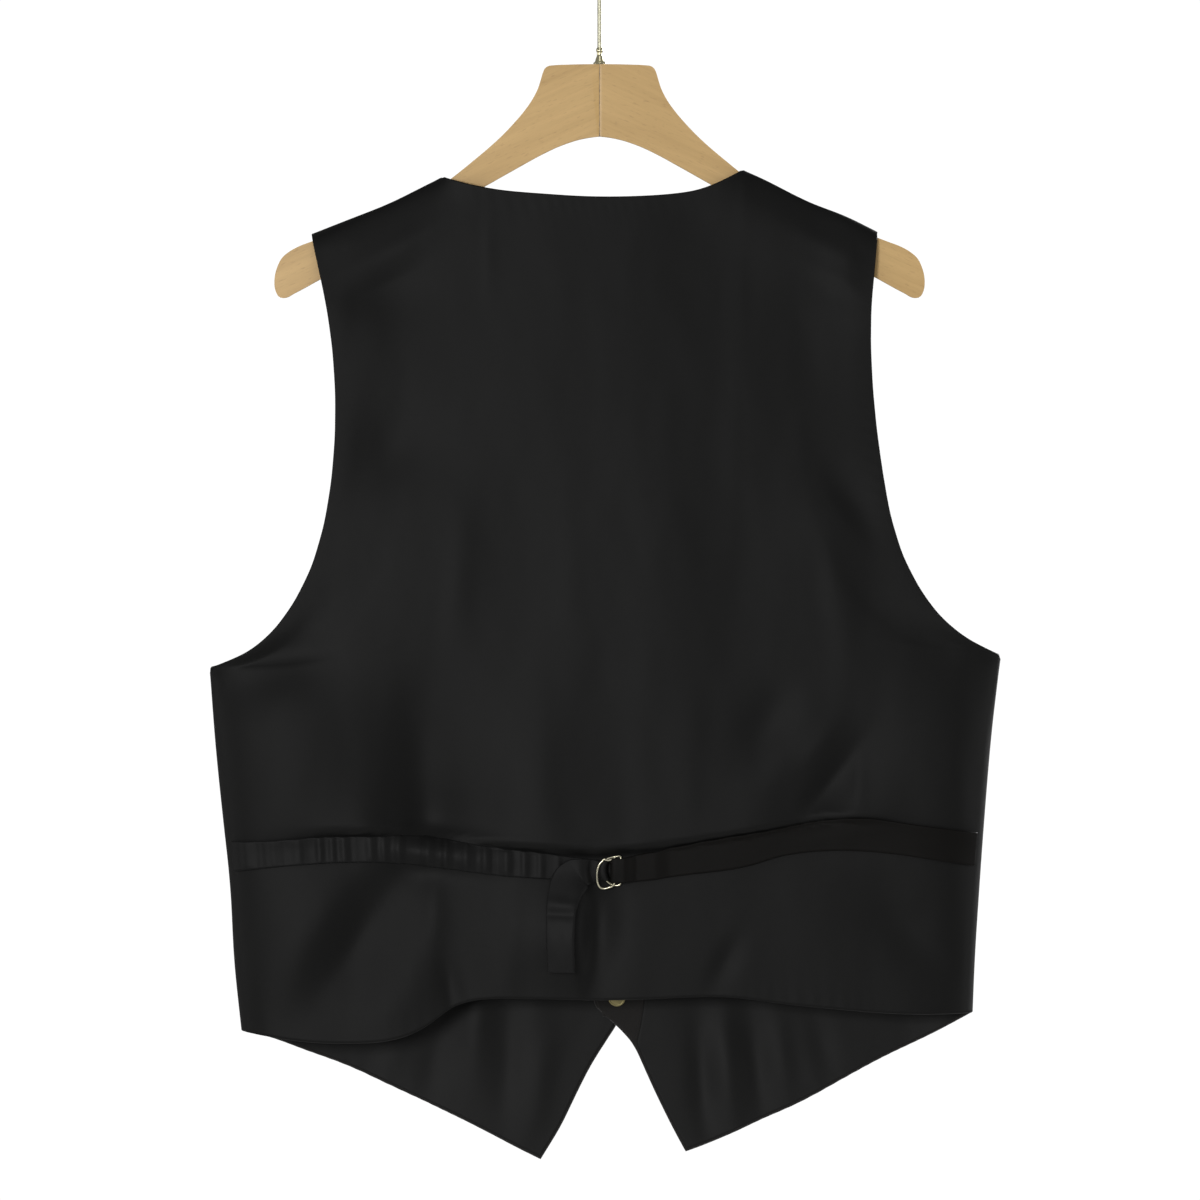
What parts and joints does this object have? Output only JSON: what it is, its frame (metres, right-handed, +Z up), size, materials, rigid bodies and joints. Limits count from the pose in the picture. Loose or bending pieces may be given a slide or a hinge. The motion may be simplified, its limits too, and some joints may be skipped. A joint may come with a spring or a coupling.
{
  "type": "suit waistcoat on a wooden hanger",
  "caption": "Sleeveless suit waistcoat with a satin back, a half belt on metal rings and pointed fronts, hanging buttoned on a flat wooden hanger with a wire hook.",
  "frame": {"origin": "top of the inside of the hook, where it hangs on a rail", "axes": "+Z up, +Y the way the wearer faces, +X the wearer's right; the satin back faces -Y"},
  "size_m": [0.5377, 0.053, 0.8433],
  "materials": {
    "satin": "smooth black viscose satin, softly shining",
    "suiting": "matt black wool suiting",
    "ring_metal": "bright plated wire, a little warm",
    "brass": "dull brass plate",
    "button": "black, half gloss",
    "wood": "pale beech, clear satin lacquer",
    "hook_metal": "bright plated wire, a little warm"
  },
  "bodies": {
    "root": {"back": "satin", "front_left": "suiting", "front_right": "suiting", "lining_left": "satin", "lining_right": "satin", "facing_right": "suiting", "strap_left": "satin", "strap_right": "satin", "d_ring_a": "ring_metal", "d_ring_b": "ring_metal", "button_1": "button", "button_2": "button", "button_3": "button", "button_4": "button", "button_5": "button", "button_back_1": "brass", "button_back_2": "brass", "button_back_3": "brass", "button_back_4": "brass", "button_back_5": "brass", "hanger_left": "wood", "hanger_right": "wood", "ferrule": "hook_metal", "hook": "hook_metal"}
  },
  "joints": []
}
